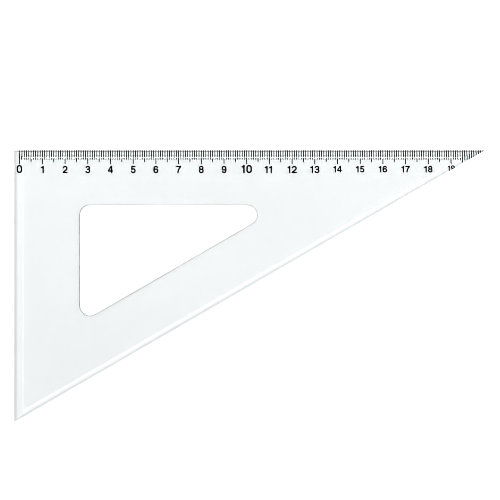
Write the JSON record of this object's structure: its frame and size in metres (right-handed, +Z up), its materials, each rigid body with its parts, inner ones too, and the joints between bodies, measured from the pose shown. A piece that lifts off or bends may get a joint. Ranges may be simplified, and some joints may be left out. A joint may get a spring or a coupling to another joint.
{
  "type": "set square",
  "caption": "Clear plastic 30/60 degree set square with bevelled edges, a triangular window and a printed centimetre scale along the long leg.",
  "frame": {"origin": "the plate's right-angled corner, on its underside", "axes": "+X along the scale edge from the right angle to the pointed end, -Y down the short edge, +Z up out of the bevelled face towards the reader"},
  "size_m": [0.2075, 0.1198, 0.002],
  "materials": {
    "clear_plastic": "clear, polished, lightly scratched",
    "black_ink": "hot-stamped ink, satin"
  },
  "bodies": {
    "root": {"plate": "clear_plastic", "millimetre_marks": "black_ink", "half_centimetre_marks": "black_ink", "centimetre_marks": "black_ink", "numeral_0": "black_ink", "numeral_1": "black_ink", "numeral_2": "black_ink", "numeral_3": "black_ink", "numeral_4": "black_ink", "numeral_5": "black_ink", "numeral_6": "black_ink", "numeral_7": "black_ink", "numeral_8": "black_ink", "numeral_9": "black_ink", "numeral_10": "black_ink", "numeral_11": "black_ink", "numeral_12": "black_ink", "numeral_13": "black_ink", "numeral_14": "black_ink", "numeral_15": "black_ink", "numeral_16": "black_ink", "numeral_17": "black_ink", "numeral_18": "black_ink", "numeral_19": "black_ink"}
  },
  "joints": []
}
